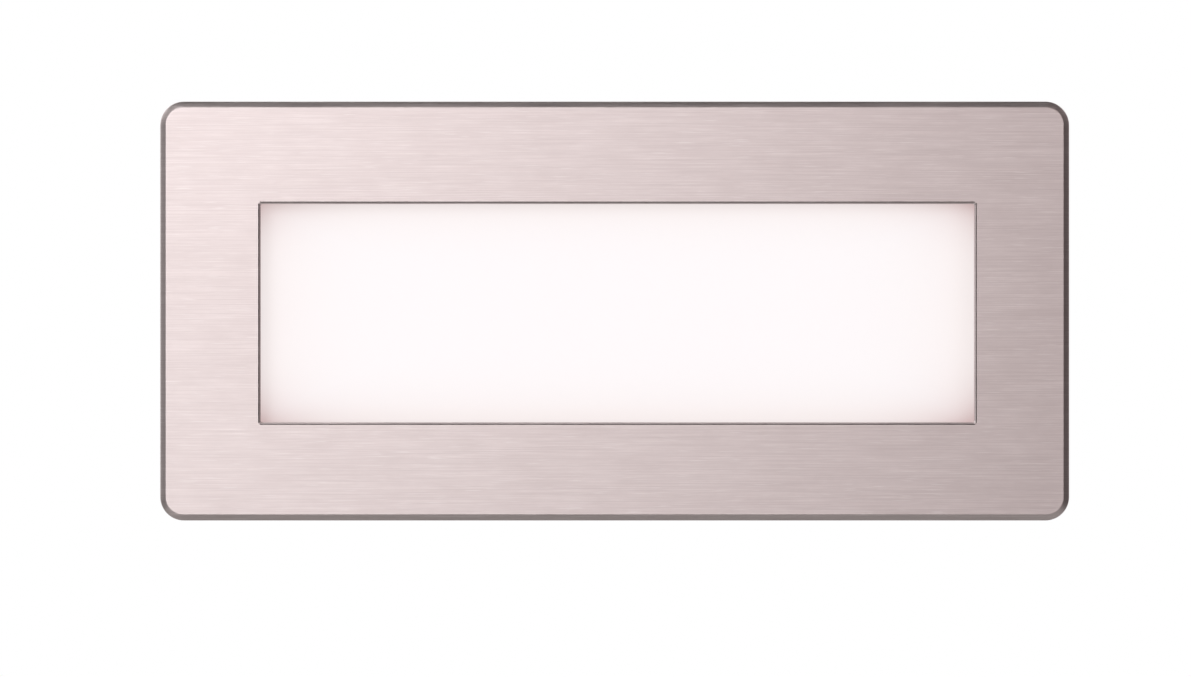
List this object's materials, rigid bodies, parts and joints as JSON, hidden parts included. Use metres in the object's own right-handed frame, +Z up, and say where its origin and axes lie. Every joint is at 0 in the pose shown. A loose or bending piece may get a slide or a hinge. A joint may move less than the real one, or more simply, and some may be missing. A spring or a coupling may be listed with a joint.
{
  "type": "recessed step light",
  "caption": "Brick-sized wall or step light: a steel faceplate with a bevelled window over frosted glass, on a cast lamp body held in a wall box by sprung arms.",
  "frame": {"origin": "middle of the recess, on the face of the wall", "axes": "+X along the faceplate's length to the right, +Y into the wall, +Z up"},
  "size_m": [0.23, 0.071, 0.106],
  "materials": {
    "brushed_steel": "horizontal brush lines",
    "frosted_glass": "frosted",
    "soft_seal": "matt",
    "zinc_steel": "bright zinc",
    "cast_aluminium": "cast, satin",
    "white_reflector": "matt white",
    "white_board": "solder mask",
    "light_source": "phosphor",
    "box_plastic": "moulded",
    "driver_plastic": "moulded",
    "board_green": "solder mask",
    "winding": "taped",
    "capacitor_sleeve": "sleeve",
    "brass": "bright",
    "gland_plastic": "moulded",
    "spring_steel": "bright spring steel",
    "lead_sleeve": "insulation"
  },
  "bodies": {
    "recess_box": {"recess_box": "box_plastic"},
    "lamp": {"lamp_housing": "cast_aluminium", "flange_gasket": "soft_seal", "glass_gasket": "soft_seal", "diffuser_glass": "frosted_glass", "clamp_frame": "zinc_steel", "clamp_screws": "zinc_steel", "reflector": "white_reflector", "led_board": "white_board", "leds": "light_source", "led_board_screws": "zinc_steel", "gear_tray": "zinc_steel", "gear_tray_screws": "zinc_steel", "driver_case": "driver_plastic", "driver_lid": "driver_plastic", "driver_board": "board_green", "driver_transformer": "winding", "driver_capacitors": "capacitor_sleeve", "terminal_block": "driver_plastic", "terminal_inserts": "brass", "terminal_screws": "zinc_steel", "earth_lug": "brass", "earth_screw": "zinc_steel", "driver_leads": "lead_sleeve", "led_leads": "lead_sleeve", "gland_body": "gland_plastic", "gland_locknut": "gland_plastic", "gland_seal": "soft_seal", "gland_nut": "gland_plastic", "fascia_clips": "spring_steel", "clip_rivets": "zinc_steel", "left_bracket": "zinc_steel", "right_bracket": "zinc_steel", "bracket_rivets": "cast_aluminium", "left_pin": "zinc_steel", "right_pin": "zinc_steel", "left_spring": "spring_steel", "right_spring": "spring_steel"},
    "fascia": {"fascia": "brushed_steel"},
    "left_arm": {"left_arm": "spring_steel"},
    "right_arm": {"right_arm": "spring_steel"}
  },
  "joints": [
    {"name": "lamp_withdraw", "type": "slide", "parent": "recess_box", "child": "lamp", "axis": [0, -1, 0], "range_m": [0, 0.07]},
    {"name": "fascia_pull", "type": "slide", "parent": "lamp", "child": "fascia", "axis": [0, -1, 0], "range_m": [0, 0.03]},
    {"name": "left_arm_fold", "type": "hinge", "parent": "lamp", "child": "left_arm", "pos_m": [-0.088, 0.02995, 0], "axis": [0, 0, -1], "range_deg": [0, 25], "stiffness_Nm_per_rad": 0.02, "springref_deg": -34.38},
    {"name": "right_arm_fold", "type": "hinge", "parent": "lamp", "child": "right_arm", "pos_m": [0.088, 0.02995, 0], "axis": [0, 0, 1], "range_deg": [0, 25], "stiffness_Nm_per_rad": 0.02, "springref_deg": -34.38}
  ]
}
